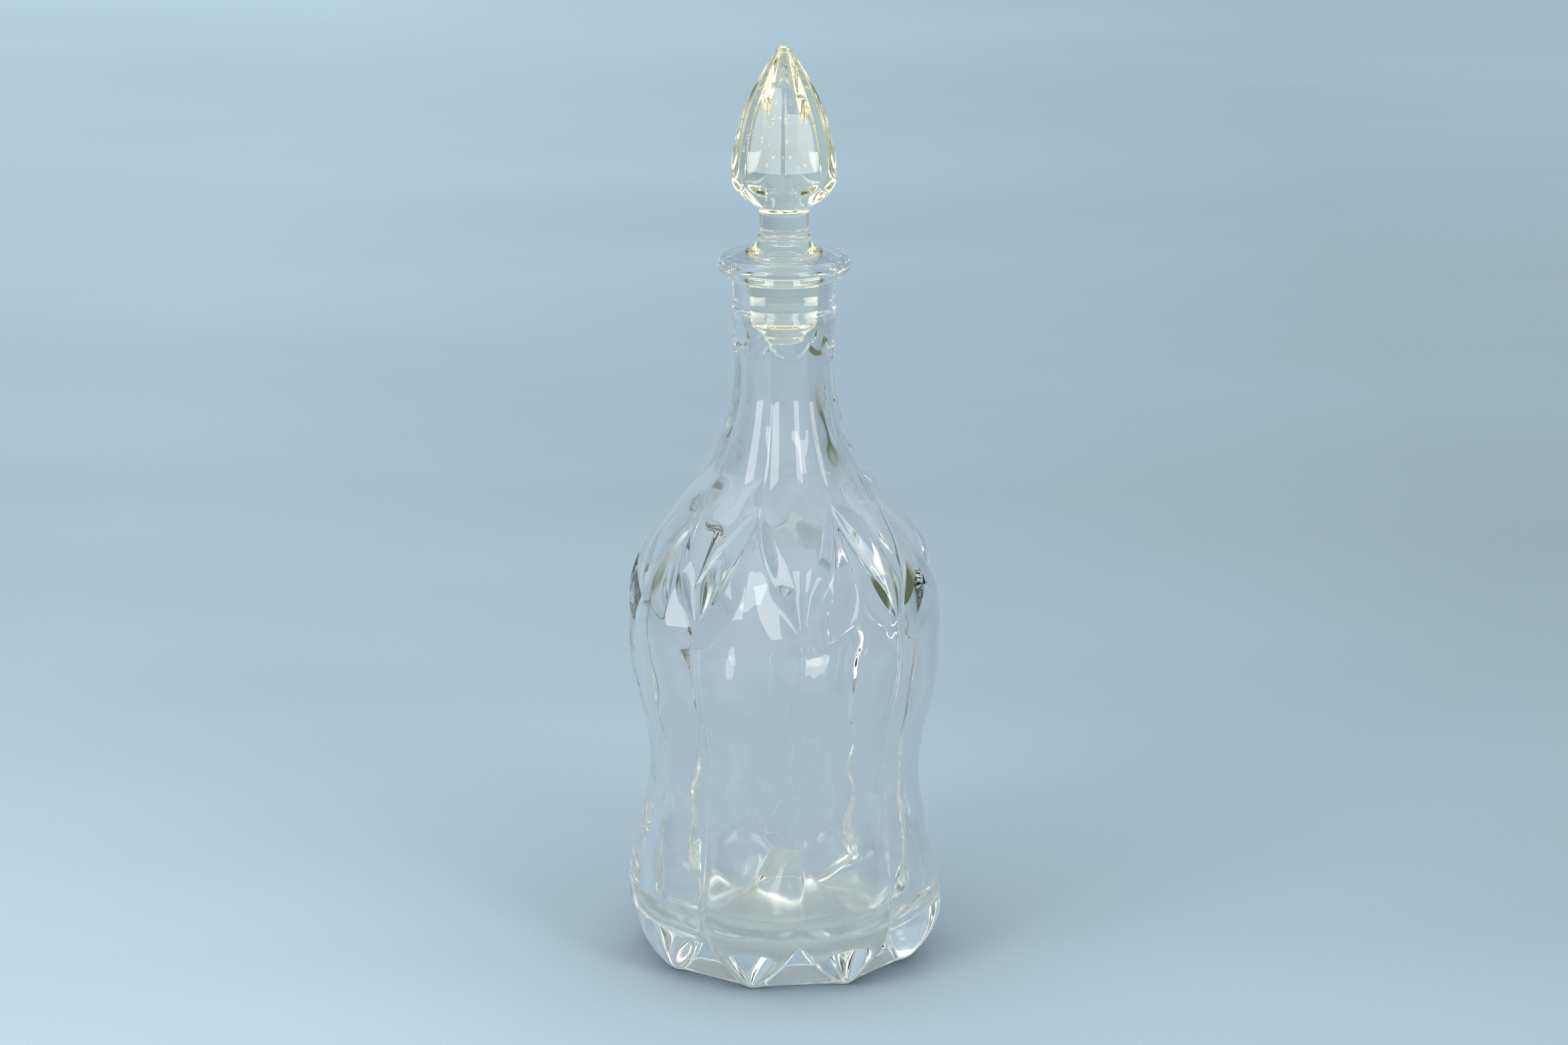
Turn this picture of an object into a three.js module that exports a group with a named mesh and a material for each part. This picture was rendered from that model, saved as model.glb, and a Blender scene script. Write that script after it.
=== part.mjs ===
// Glass decanter with a ground stopper, in millimetres, +Z up.
// The origin is the centre of the foot, on the surface that the decanter stands on.
import * as THREE from 'three';

// Pattern of the bottle: lobes with grooves between them, and one neck petal over each groove.
const LOBES = 8;
const HALF_SECTOR = Math.PI / LOBES;
const FIRST_GROOVE = -Math.PI / 2;

// Crest line of the lobes and petals, from the foot to the plain neck.
const FOOT_RADIUS = 44;
const FOOT_CURVE_SHARE = 0.8;
const BULGE_RADIUS = 55.8;
const BULGE_HEIGHT = 21;
const WAIST_RADIUS = 47.7;
const WAIST_HEIGHT = 69;
const SHOULDER_START_HEIGHT = 112;
const SHOULDER_RADIUS = 54.8;
const SHOULDER_HEIGHT = 124.6;
const SHOULDER_REACH = 35.6;
const FLUTE_REACH = 50;
const FLUTE_RADIUS = 16.9;
const FLUTE_HEIGHT = 213.3;

// Groove line between the lobes.
const FOOT_FLAT_RADIUS = 42.4;
const GROOVE_BULGE_RADIUS = 46;
const GROOVE_WAIST_RADIUS = 43;
const GROOVE_SHOULDER_RADIUS = 50.2;
const FOOT_RIM_HEIGHT = 4.6;

// Rounded lower ends of the lobes, and the pointed upper ends between the petals.
const LOBE_END_HEIGHT = 22.5;
const LOBE_END_TURN = Math.PI / 60;
const PETAL_TIP_HEIGHT = 127;
const GROOVE_FADE_HEIGHT = 119;
const LOBE_APEX_HEIGHT = 167;
const PETAL_SWEEP_SHARE = 1.4;
const VALLEY_DEPTH = 1.9;
const VALLEY_HALF_WIDTH = 3.5;
const VALLEY_LEAN_SHARE = 0.86;
const LOBE_CROWN_SHARE = 0.4;
const PETAL_CROWN_SHARE = 0.36;
const MOST_CROWN_SHARE = 1.08;

// Plain neck above the petals. The tops of the petals sag between the creases that part them.
const NECK_RADIUS = 17.7;
const NECK_TAPER = 0.2;
const CREASE_TOP_LENGTH = 7.3;
const PETAL_TOP_SAG = 4;
const PETAL_TOP_STEP = 2;
const PLAIN_NECK_LENGTH = 16.9;

// Rolled lip.
const LIP_RADIUS = 22.7;
const LIP_TUBE_RADIUS = 3.6;
const LIP_CENTRE_RISE = 7.3;
const LIP_FILLET = 1.6;
const MOUTH_ROUNDING = 0.8;

// Foot: a standing ring round a shallow hollow.
const STANDING_RING_WIDTH = 12;
const FOOT_HOLLOW_DEPTH = 2.4;

// Inside of the bottle.
const LOBE_BASE_WALL = 3.6;
const LOBE_WALL = 2.5;
const GROOVE_WALL = 2.3;
const SHOULDER_WALL = 7.6;
const NECK_WALL = 4.5;
const FLOOR_DOME_HEIGHT = 38;
const FLOOR_DOME_RADIUS = 25;
const FLOOR_TROUGH_HEIGHT = 12.5;
const FLOOR_CORNER_HEIGHT = 24;

// Ground mouth and plug.
const PLUG_TOP_RADIUS = 12.1;
const PLUG_END_RADIUS = 11.3;
const PLUG_LENGTH = 24.4;
const PLUG_CLEARANCE = 0.3;
const GROUND_LENGTH = 18.5;
const UNDERCUT_RADIUS = 13.4;
const UNDERCUT_LENGTH = 8;
const UNDERCUT_FLARE_LENGTH = 2;

// Stopper below the finial: collar, bead and stem, and the pip under the plug.
const COLLAR_OVERHANG = 1.1;
const COLLAR_THICKNESS = 1;
const SKIRT_HEIGHT = 3.6;
const BEAD_RADIUS = 9.4;
const BEAD_HEIGHT = 2.4;
const STEM_RADIUS = 8.35;
const STEM_HEIGHT = 7;
const PLUG_CHAMFER_LENGTH = 4;
const PIP_RADIUS = 6.8;
const PIP_LENGTH = 2;

// Finial: eight panels that taper to a point.
const PANELS = 8;
const STOPPER_TURN = -0.154;
const FINIAL_RADIUS = 18.2;
const FINIAL_FLARE_HEIGHT = 2.5;
const BOWL_START_RADIUS = 9.4;
const BOWL_HEIGHT = 10.6;
const BOWL_FULLNESS_SHARE = 0.9;
const FINIAL_POINT_HEIGHT = 44.2;
const FINIAL_POINT_REACH = 45.7;
const TIP_HEIGHT = 2.2;

// Fineness of the surfaces.
const COLUMNS = 80;
const NUDGE_SHARE = 0.25;
const INNER_COLUMNS = 40;
const STOPPER_COLUMNS = 32;
const LOBE_END_RINGS = 8;
const BODY_RINGS = 9;
const PETAL_RINGS = 12;
const FLUTE_RINGS = 5;
const CREASE_RINGS = 5;
const FILLET_RINGS = 2;
const LIP_RINGS = 7;
const CAVITY_NECK_RINGS = 5;
const CAVITY_SHOULDER_RINGS = 5;
const CAVITY_BODY_RINGS = 7;
const CORNER_RINGS = 6;
const DOME_RINGS = 5;
const BEAD_RINGS = 4;
const BOWL_RINGS = 5;
const POINT_RINGS = 7;
const TIP_RINGS = 3;

const GLASS_COLOUR = 0xdfe9e6;
const GLASS_ROUGHNESS = 0.04;

// Sizes that follow from the ones above.
const CREASE_TOP_HEIGHT = FLUTE_HEIGHT + CREASE_TOP_LENGTH;
const NECK_TOP_HEIGHT = CREASE_TOP_HEIGHT + PLAIN_NECK_LENGTH;
const LIP_CENTRE_HEIGHT = NECK_TOP_HEIGHT + LIP_CENTRE_RISE;
const LIP_TOP_HEIGHT = LIP_CENTRE_HEIGHT + LIP_TUBE_RADIUS;
const LIP_RING_RADIUS = LIP_RADIUS - LIP_TUBE_RADIUS;
const PLUG_TOP_HEIGHT = LIP_TOP_HEIGHT + PLUG_CLEARANCE;
const PLUG_END_HEIGHT = PLUG_TOP_HEIGHT - PLUG_LENGTH;
const GROUND_END_HEIGHT = LIP_TOP_HEIGHT - GROUND_LENGTH;
const FLOOR_EDGE_HEIGHT = FLOOR_TROUGH_HEIGHT + FLOOR_CORNER_HEIGHT;
const STEM_TOP_HEIGHT = PLUG_TOP_HEIGHT + COLLAR_THICKNESS + SKIRT_HEIGHT + BEAD_HEIGHT + STEM_HEIGHT;
const BOWL_START_HEIGHT = STEM_TOP_HEIGHT + FINIAL_FLARE_HEIGHT;
const FINIAL_WIDEST_HEIGHT = BOWL_START_HEIGHT + BOWL_HEIGHT;
const TOTAL_HEIGHT = FINIAL_WIDEST_HEIGHT + FINIAL_POINT_HEIGHT;

function clamp01(share) {
  return Math.min(Math.max(share, 0), 1);
}

function smoothStep(share) {
  const t = clamp01(share);
  return t * t * (3 - 2 * t);
}

// Cosine run between two sizes, flat at both ends.
function easeBetween(from, to, share) {
  return THREE.MathUtils.lerp(from, to, (1 - Math.cos(Math.PI * clamp01(share))) / 2);
}

const shoulderCurve = new THREE.CubicBezierCurve(
  new THREE.Vector2(SHOULDER_RADIUS, SHOULDER_HEIGHT),
  new THREE.Vector2(SHOULDER_RADIUS, SHOULDER_HEIGHT + SHOULDER_REACH),
  new THREE.Vector2(FLUTE_RADIUS, FLUTE_HEIGHT - FLUTE_REACH),
  new THREE.Vector2(FLUTE_RADIUS, FLUTE_HEIGHT)
);

// Radius of the long S-curve from the shoulder to the neck, found by halving.
function shoulderRadius(height) {
  let low = 0;
  let high = 1;
  const halvings = 30;
  for (let i = 0; i < halvings; i += 1) {
    const middle = (low + high) / 2;
    if (shoulderCurve.getPoint(middle).y < height) low = middle;
    else high = middle;
  }
  return shoulderCurve.getPoint(low).x;
}

// Crest line: the widest radius of the bottle at a height.
function crestRadius(height) {
  if (height < BULGE_HEIGHT) {
    const drop = (BULGE_HEIGHT - Math.max(height, 0)) / BULGE_HEIGHT;
    const swell = Math.pow(Math.cos(drop * Math.PI / 2), FOOT_CURVE_SHARE);
    return THREE.MathUtils.lerp(FOOT_RADIUS, BULGE_RADIUS, swell);
  }
  if (height < WAIST_HEIGHT) {
    return easeBetween(BULGE_RADIUS, WAIST_RADIUS, (height - BULGE_HEIGHT) / (WAIST_HEIGHT - BULGE_HEIGHT));
  }
  if (height < SHOULDER_START_HEIGHT) {
    const share = (height - WAIST_HEIGHT) / (SHOULDER_START_HEIGHT - WAIST_HEIGHT);
    return easeBetween(WAIST_RADIUS, SHOULDER_RADIUS, share);
  }
  if (height < SHOULDER_HEIGHT) return SHOULDER_RADIUS;
  if (height < FLUTE_HEIGHT) return shoulderRadius(height);
  return FLUTE_RADIUS;
}

// Groove line below the petals.
function grooveRadius(height) {
  if (height < FOOT_RIM_HEIGHT) return FOOT_FLAT_RADIUS;
  if (height < LOBE_END_HEIGHT) {
    const share = (height - FOOT_RIM_HEIGHT) / (LOBE_END_HEIGHT - FOOT_RIM_HEIGHT);
    return easeBetween(FOOT_FLAT_RADIUS, GROOVE_BULGE_RADIUS, share);
  }
  if (height < WAIST_HEIGHT) {
    const share = (height - LOBE_END_HEIGHT) / (WAIST_HEIGHT - LOBE_END_HEIGHT);
    return easeBetween(GROOVE_BULGE_RADIUS, GROOVE_WAIST_RADIUS, share);
  }
  const share = (height - WAIST_HEIGHT) / (GROOVE_FADE_HEIGHT - WAIST_HEIGHT);
  return easeBetween(GROOVE_WAIST_RADIUS, GROOVE_SHOULDER_RADIUS, share);
}

// Angle from the groove line to the valley that borders a petal.
function valleyAngle(height) {
  const rise = clamp01((height - PETAL_TIP_HEIGHT) / (LOBE_APEX_HEIGHT - PETAL_TIP_HEIGHT));
  return HALF_SECTOR * (1 - Math.pow(1 - rise, PETAL_SWEEP_SHARE));
}

// Half the angle that a lobe covers: its U-shaped lower end, its full width, its pointed top.
function lobeHalfAngle(height) {
  if (height >= LOBE_END_HEIGHT) return HALF_SECTOR - valleyAngle(height);
  const rise = Math.sin((Math.PI / 2) * clamp01(height / LOBE_END_HEIGHT));
  return THREE.MathUtils.lerp(LOBE_END_TURN, HALF_SECTOR, rise);
}

// Depth of the valley under the surfaces beside it: none in the plain groove, most at the petal's tip.
function valleyDepth(height) {
  const onset = smoothStep((height - GROOVE_FADE_HEIGHT) / (PETAL_TIP_HEIGHT - GROOVE_FADE_HEIGHT));
  const fade = 1 - clamp01((height - PETAL_TIP_HEIGHT) / (LOBE_APEX_HEIGHT - PETAL_TIP_HEIGHT));
  return VALLEY_DEPTH * onset * Math.sqrt(fade);
}

// How far an arc over a half angle stands past its ends, as a share of their radius.
function crownGain(half, crownShare) {
  return Math.cos(half) + crownShare * Math.sin(half);
}

// Radius, at an angle from the middle, of an arc through a crest and two ends.
function arcRadius(angle, half, crest, end) {
  const chord = end * Math.sin(half);
  const most = end * crownGain(half, MOST_CROWN_SHARE);
  const rise = Math.min(crest, most) - end * Math.cos(half);
  if (rise < chord * Number.EPSILON || chord === 0) return end * Math.cos(half) / Math.cos(angle);
  const radius = (chord * chord + rise * rise) / (2 * rise);
  const centre = end * Math.cos(half) + rise - radius;
  const side = centre * Math.sin(angle);
  return centre * Math.cos(angle) + Math.sqrt(Math.max(radius * radius - side * side, 0));
}

// Radius of the seam beside a lobe: where it meets the foot, the next lobe, or the valley round a petal.
function shelfRadius(height) {
  if (height < GROOVE_FADE_HEIGHT) return grooveRadius(height);
  const lobe = crownGain(HALF_SECTOR - valleyAngle(height), LOBE_CROWN_SHARE);
  const petal = crownGain(valleyAngle(height), PETAL_CROWN_SHARE);
  const shelf = crestRadius(height) / Math.max(lobe, petal);
  const share = (height - GROOVE_FADE_HEIGHT) / (PETAL_TIP_HEIGHT - GROOVE_FADE_HEIGHT);
  return THREE.MathUtils.lerp(Math.min(GROOVE_SHOULDER_RADIUS, shelf), shelf, clamp01(share));
}

// Outer radius of the lobed and petalled part, at an angle from the nearest groove.
function patternRadius(angle, height) {
  const half = lobeHalfAngle(height);
  const shelf = shelfRadius(height);
  const floor = shelf - valleyDepth(height);
  const fromValley = Math.abs(angle - (HALF_SECTOR - half)) * shelf * VALLEY_LEAN_SHARE;
  const bevel = floor + fromValley * VALLEY_DEPTH / VALLEY_HALF_WIDTH;
  if (HALF_SECTOR - angle <= half) {
    const crest = height < PETAL_TIP_HEIGHT ? crestRadius(height) : shelf * crownGain(half, LOBE_CROWN_SHARE);
    const lobe = arcRadius(HALF_SECTOR - angle, half, crest, shelf);
    return valleyDepth(height) > 0 ? Math.min(lobe, bevel) : lobe;
  }
  const petalHalf = HALF_SECTOR - half;
  if (height < LOBE_END_HEIGHT) return shelf * Math.cos(petalHalf) / Math.cos(angle);
  const crest = shelf * crownGain(petalHalf, PETAL_CROWN_SHARE);
  const petal = arcRadius(angle, petalHalf, crest, shelf);
  return valleyDepth(height) > 0 ? Math.min(petal, bevel) : petal;
}

// Angle from the nearest groove, for a direction round the axis.
function angleFromGroove(direction) {
  const sector = 2 * HALF_SECTOR;
  const turn = THREE.MathUtils.euclideanModulo(direction - FIRST_GROOVE + HALF_SECTOR, sector);
  return Math.abs(turn - HALF_SECTOR);
}

// Outer radius from the foot to the top of the plain neck.
function outerRadius(direction, height) {
  const angle = angleFromGroove(direction);
  const neckShare = (height - CREASE_TOP_HEIGHT) / PLAIN_NECK_LENGTH;
  const neck = NECK_RADIUS - NECK_TAPER * clamp01(neckShare);
  const fromCrease = 1 - Math.pow(angle / HALF_SECTOR, 2);
  const petalTop = CREASE_TOP_HEIGHT - PETAL_TOP_SAG * fromCrease;
  const share = smoothStep(1 - (petalTop - height) / PETAL_TOP_STEP);
  if (share === 1) return neck;
  return THREE.MathUtils.lerp(patternRadius(angle, height), neck, share);
}

// Inner radius of the cavity above its floor.
function innerRadius(direction, height) {
  const angle = angleFromGroove(direction);
  const body = 1 - smoothStep((height - GROOVE_FADE_HEIGHT) / (LOBE_APEX_HEIGHT - GROOVE_FADE_HEIGHT));
  const neckShare = (height - LOBE_APEX_HEIGHT) / (FLUTE_HEIGHT - LOBE_APEX_HEIGHT);
  const upperWall = easeBetween(SHOULDER_WALL, NECK_WALL, neckShare);
  const upper = crestRadius(height) - upperWall;
  if (body === 0) return upper;
  const end = grooveRadius(Math.min(height, GROOVE_FADE_HEIGHT)) - GROOVE_WALL;
  const wallShare = (height - BULGE_HEIGHT) / (WAIST_HEIGHT - BULGE_HEIGHT);
  const lobeWall = easeBetween(LOBE_BASE_WALL, LOBE_WALL, wallShare);
  const crest = crestRadius(Math.min(height, GROOVE_FADE_HEIGHT)) - lobeWall;
  const lobed = arcRadius(HALF_SECTOR - angle, HALF_SECTOR, crest, end);
  return THREE.MathUtils.lerp(upper, lobed, body);
}

function direction(index, count) {
  return FIRST_GROOVE + (2 * Math.PI * index) / count;
}

// Moves a direction onto the seam beside a lobe where the seam lies within half a column of it.
function seamDirection(around, height) {
  const angle = angleFromGroove(around);
  const seam = HALF_SECTOR - lobeHalfAngle(height);
  const shift = seam - angle;
  const column = (2 * Math.PI) / COLUMNS;
  const onEnd = angle < column / 2 || HALF_SECTOR - angle < column / 2;
  if (onEnd || Math.abs(shift) > column / 2) return around;
  const nudge = column * NUDGE_SHARE;
  return angleFromGroove(around + nudge) > angle ? around + shift : around - shift;
}

// One ring of points round the axis, from a radius for each direction.
function ring(count, height, radiusAt, directionAt = (around) => around) {
  const points = [];
  for (let i = 0; i < count; i += 1) {
    const around = directionAt(direction(i, count));
    const radius = radiusAt(around);
    points.push(new THREE.Vector3(radius * Math.cos(around), radius * Math.sin(around), height));
  }
  return points;
}

function roundRing(count, height, radius) {
  return ring(count, height, () => radius);
}

function pole(height) {
  return [new THREE.Vector3(0, 0, height)];
}

// How far the middle of a line between two points lies from the outer surface.
function surfaceMiss(a, b) {
  const x = (a.x + b.x) / 2;
  const y = (a.y + b.y) / 2;
  return Math.abs(Math.hypot(x, y) - outerRadius(Math.atan2(y, x), (a.z + b.z) / 2));
}

function lineLength(a, b) {
  return a.distanceTo(b);
}

// Two faces for four points, split along the diagonal with the smaller miss.
function pushQuad(faces, points, a, b, c, d, miss) {
  const first = miss(points[a], points[c]);
  const second = miss(points[b], points[d]);
  if (second < first) faces.push(a, b, d, b, c, d);
  else faces.push(a, b, c, a, c, d);
}

// Faces between two rings whose counts are equal, or where one is a whole multiple of the other.
function joinRings(faces, points, lower, upper, miss) {
  const steps = Math.max(lower.count, upper.count);
  for (let i = 0; i < steps; i += 1) {
    const next = (i + 1) % steps;
    const a = lower.start + Math.floor((i * lower.count) / steps);
    const b = lower.start + Math.floor((next * lower.count) / steps);
    const c = upper.start + Math.floor((next * upper.count) / steps);
    const d = upper.start + Math.floor((i * upper.count) / steps);
    if (a === b) faces.push(a, c, d);
    else if (c === d) faces.push(a, b, d);
    else pushQuad(faces, points, a, b, c, d, miss);
  }
}

// Closed surface through a run of rings that starts and ends on the axis. The first rings may judge their
// diagonals by a measure of their own.
function loft(rings, miss = lineLength, missedRings = 0) {
  const points = [];
  const faces = [];
  let lower = null;
  for (const [index, loop] of rings.entries()) {
    const upper = { start: points.length, count: loop.length };
    points.push(...loop);
    if (lower) joinRings(faces, points, lower, upper, index < missedRings ? miss : lineLength);
    lower = upper;
  }
  const geometry = new THREE.BufferGeometry().setFromPoints(points);
  geometry.setIndex(faces);
  geometry.computeVertexNormals();
  return geometry;
}

// Heights from one level up or down to another, without the first.
function levels(from, to, steps) {
  return Array.from({ length: steps }, (_, i) => THREE.MathUtils.lerp(from, to, (i + 1) / steps));
}

function footRings() {
  const inner = FOOT_FLAT_RADIUS - STANDING_RING_WIDTH;
  const middleShare = 0.5;
  return [
    pole(FOOT_HOLLOW_DEPTH),
    roundRing(COLUMNS, FOOT_HOLLOW_DEPTH * (1 - middleShare * middleShare), inner * middleShare),
    roundRing(COLUMNS, 0, inner),
    ring(COLUMNS, 0, (around) => outerRadius(around, 0))
  ];
}

function bodyRings() {
  const heights = [
    ...levels(0, 1, LOBE_END_RINGS).map((share) => LOBE_END_HEIGHT * share * share),
    ...levels(LOBE_END_HEIGHT, GROOVE_FADE_HEIGHT, BODY_RINGS),
    ...levels(GROOVE_FADE_HEIGHT, LOBE_APEX_HEIGHT, PETAL_RINGS),
    ...levels(LOBE_APEX_HEIGHT, FLUTE_HEIGHT, FLUTE_RINGS),
    ...levels(FLUTE_HEIGHT, CREASE_TOP_HEIGHT, CREASE_RINGS),
    NECK_TOP_HEIGHT
  ];
  return heights.map((height) => {
    const onSeam = (around) => seamDirection(around, height);
    return ring(COLUMNS, height, (around) => outerRadius(around, height), onSeam);
  });
}

// Rolled lip: a fillet under it, and round it to the top.
function lipRings() {
  const rings = [];
  const neck = NECK_RADIUS - NECK_TAPER;
  const under = LIP_CENTRE_HEIGHT - LIP_TUBE_RADIUS;
  for (const turn of levels(0, Math.PI / 2, FILLET_RINGS)) {
    const radius = neck + LIP_FILLET * (1 - Math.cos(turn));
    rings.push(roundRing(COLUMNS, under - LIP_FILLET * (1 - Math.sin(turn)), radius));
  }
  for (const turn of levels(-Math.PI / 2, Math.PI / 2, LIP_RINGS)) {
    const radius = LIP_RING_RADIUS + LIP_TUBE_RADIUS * Math.cos(turn);
    rings.push(roundRing(COLUMNS, LIP_CENTRE_HEIGHT + LIP_TUBE_RADIUS * Math.sin(turn), radius));
  }
  return rings;
}

// Radius of the plug at a height, and of the ground mouth that takes it.
function plugRadius(height) {
  const share = (PLUG_TOP_HEIGHT - height) / PLUG_LENGTH;
  return THREE.MathUtils.lerp(PLUG_TOP_RADIUS, PLUG_END_RADIUS, share);
}

function groundRadius(height) {
  return plugRadius(height) + PLUG_CLEARANCE;
}

function mouthRings() {
  const edge = LIP_TOP_HEIGHT - MOUTH_ROUNDING;
  const open = GROUND_END_HEIGHT - UNDERCUT_FLARE_LENGTH;
  return [
    roundRing(COLUMNS, LIP_TOP_HEIGHT, groundRadius(edge) + MOUTH_ROUNDING),
    roundRing(INNER_COLUMNS, edge, groundRadius(edge)),
    roundRing(INNER_COLUMNS, GROUND_END_HEIGHT, groundRadius(GROUND_END_HEIGHT)),
    roundRing(INNER_COLUMNS, open, UNDERCUT_RADIUS),
    roundRing(INNER_COLUMNS, GROUND_END_HEIGHT - UNDERCUT_LENGTH, UNDERCUT_RADIUS)
  ];
}

function cavityRings() {
  const heights = [
    ...levels(FLUTE_HEIGHT, LOBE_APEX_HEIGHT, CAVITY_NECK_RINGS),
    ...levels(LOBE_APEX_HEIGHT, GROOVE_FADE_HEIGHT, CAVITY_SHOULDER_RINGS),
    ...levels(GROOVE_FADE_HEIGHT, FLOOR_EDGE_HEIGHT, CAVITY_BODY_RINGS)
  ];
  const wall = heights.map((height) => ring(INNER_COLUMNS, height, (around) => innerRadius(around, height)));
  return [roundRing(INNER_COLUMNS, FLUTE_HEIGHT, FLUTE_RADIUS - NECK_WALL), ...wall];
}

// Floor of the cavity: a rounded pocket at the foot of the wall, then a dome in the middle.
function floorRings() {
  const corner = levels(0, Math.PI / 2, CORNER_RINGS).map((turn) => {
    const height = FLOOR_EDGE_HEIGHT - FLOOR_CORNER_HEIGHT * Math.sin(turn);
    return ring(INNER_COLUMNS, height, (around) => {
      const edge = innerRadius(around, FLOOR_EDGE_HEIGHT);
      return THREE.MathUtils.lerp(FLOOR_DOME_RADIUS, edge, Math.cos(turn));
    });
  });
  const dome = levels(1, 0, DOME_RINGS).slice(0, -1).map((share) => {
    const height = easeBetween(FLOOR_DOME_HEIGHT, FLOOR_TROUGH_HEIGHT, share);
    return roundRing(INNER_COLUMNS, height, share * FLOOR_DOME_RADIUS);
  });
  return [...corner, ...dome, pole(FLOOR_DOME_HEIGHT)];
}

function bottleGeometry() {
  const outside = [...footRings(), ...bodyRings()];
  const inside = [...lipRings(), ...mouthRings(), ...cavityRings(), ...floorRings()];
  return loft([...outside, ...inside], surfaceMiss, outside.length);
}

// Radius of the finial's panel edges at a height, from its widest level to the tip.
function finialEdgeRadius(height) {
  const share = (height - FINIAL_WIDEST_HEIGHT) / FINIAL_POINT_REACH;
  return FINIAL_RADIUS * (1 - share * share);
}

// Share of a panel edge's radius that the flat panel has in a direction.
function panelShare(around) {
  const panel = (2 * Math.PI) / PANELS;
  const turn = THREE.MathUtils.euclideanModulo(around - FIRST_GROOVE, panel) - panel / 2;
  return Math.cos(panel / 2) / Math.cos(turn);
}

// Underside of the finial: it rounds out like a bowl to the widest level.
function bowlRadius(height) {
  const drop = clamp01((FINIAL_WIDEST_HEIGHT - height) / BOWL_HEIGHT);
  const swell = Math.pow(1 - drop * drop, BOWL_FULLNESS_SHARE);
  return THREE.MathUtils.lerp(BOWL_START_RADIUS, FINIAL_RADIUS, swell);
}

function finialRadius(around, height) {
  const panelled = finialEdgeRadius(height) * panelShare(around);
  if (height >= FINIAL_WIDEST_HEIGHT) return panelled;
  return Math.min(FINIAL_RADIUS * panelShare(around), bowlRadius(height));
}

function plugRings() {
  const chamferEnd = PLUG_END_HEIGHT - PLUG_CHAMFER_LENGTH;
  return [
    pole(chamferEnd - PIP_LENGTH),
    roundRing(STOPPER_COLUMNS, chamferEnd - PIP_LENGTH, PIP_RADIUS),
    roundRing(STOPPER_COLUMNS, chamferEnd, PIP_RADIUS),
    roundRing(STOPPER_COLUMNS, PLUG_END_HEIGHT, PLUG_END_RADIUS),
    roundRing(STOPPER_COLUMNS, PLUG_TOP_HEIGHT, PLUG_TOP_RADIUS)
  ];
}

function stemRings() {
  const collar = PLUG_TOP_RADIUS + COLLAR_OVERHANG;
  const skirtTop = PLUG_TOP_HEIGHT + COLLAR_THICKNESS + SKIRT_HEIGHT;
  const beadTop = skirtTop + BEAD_HEIGHT;
  const rings = [
    roundRing(STOPPER_COLUMNS, PLUG_TOP_HEIGHT, collar),
    roundRing(STOPPER_COLUMNS, PLUG_TOP_HEIGHT + COLLAR_THICKNESS, collar),
    roundRing(STOPPER_COLUMNS, skirtTop, STEM_RADIUS)
  ];
  for (const share of levels(0, 1, BEAD_RINGS)) {
    const radius = STEM_RADIUS + (BEAD_RADIUS - STEM_RADIUS) * Math.sin(Math.PI * share);
    rings.push(roundRing(STOPPER_COLUMNS, THREE.MathUtils.lerp(skirtTop, beadTop, share), radius));
  }
  rings.push(roundRing(STOPPER_COLUMNS, STEM_TOP_HEIGHT, STEM_RADIUS));
  return rings;
}

// Finial: a flare from the stem, the bowl, the panels and the rounded tip.
function finialRings() {
  const tipStart = TOTAL_HEIGHT - TIP_HEIGHT;
  const turns = levels(0, Math.PI / 2, BOWL_RINGS);
  const bowl = turns.map((turn) => FINIAL_WIDEST_HEIGHT - BOWL_HEIGHT * Math.cos(turn));
  const heights = [BOWL_START_HEIGHT, ...bowl, ...levels(FINIAL_WIDEST_HEIGHT, tipStart, POINT_RINGS)];
  const rings = heights.map((height) => {
    return ring(STOPPER_COLUMNS, height, (around) => finialRadius(around, height));
  });
  for (const turn of levels(0, Math.PI / 2, TIP_RINGS).slice(0, -1)) {
    const radius = finialEdgeRadius(tipStart) * Math.cos(turn);
    const height = tipStart + TIP_HEIGHT * Math.sin(turn);
    rings.push(ring(STOPPER_COLUMNS, height, (around) => radius * panelShare(around)));
  }
  rings.push(pole(TOTAL_HEIGHT));
  return rings;
}

function stopperGeometry() {
  return loft([...plugRings(), ...stemRings(), ...finialRings()]);
}

function glassPiece(name, geometry) {
  const material = new THREE.MeshStandardMaterial({
    color: GLASS_COLOUR, roughness: GLASS_ROUGHNESS, metalness: 0
  });
  const mesh = new THREE.Mesh(geometry, material);
  mesh.name = name;
  return mesh;
}

const decanter = new THREE.Group();
decanter.name = 'glass_decanter';
decanter.add(glassPiece('bottle', bottleGeometry()));
const stopper = glassPiece('stopper', stopperGeometry());
stopper.rotation.z = STOPPER_TURN;
decanter.add(stopper);

export default decanter;
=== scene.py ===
"""Looks of the glass decanter: fine glass surfaces, seeds in the glass, light, floor and camera."""
import math

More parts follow.
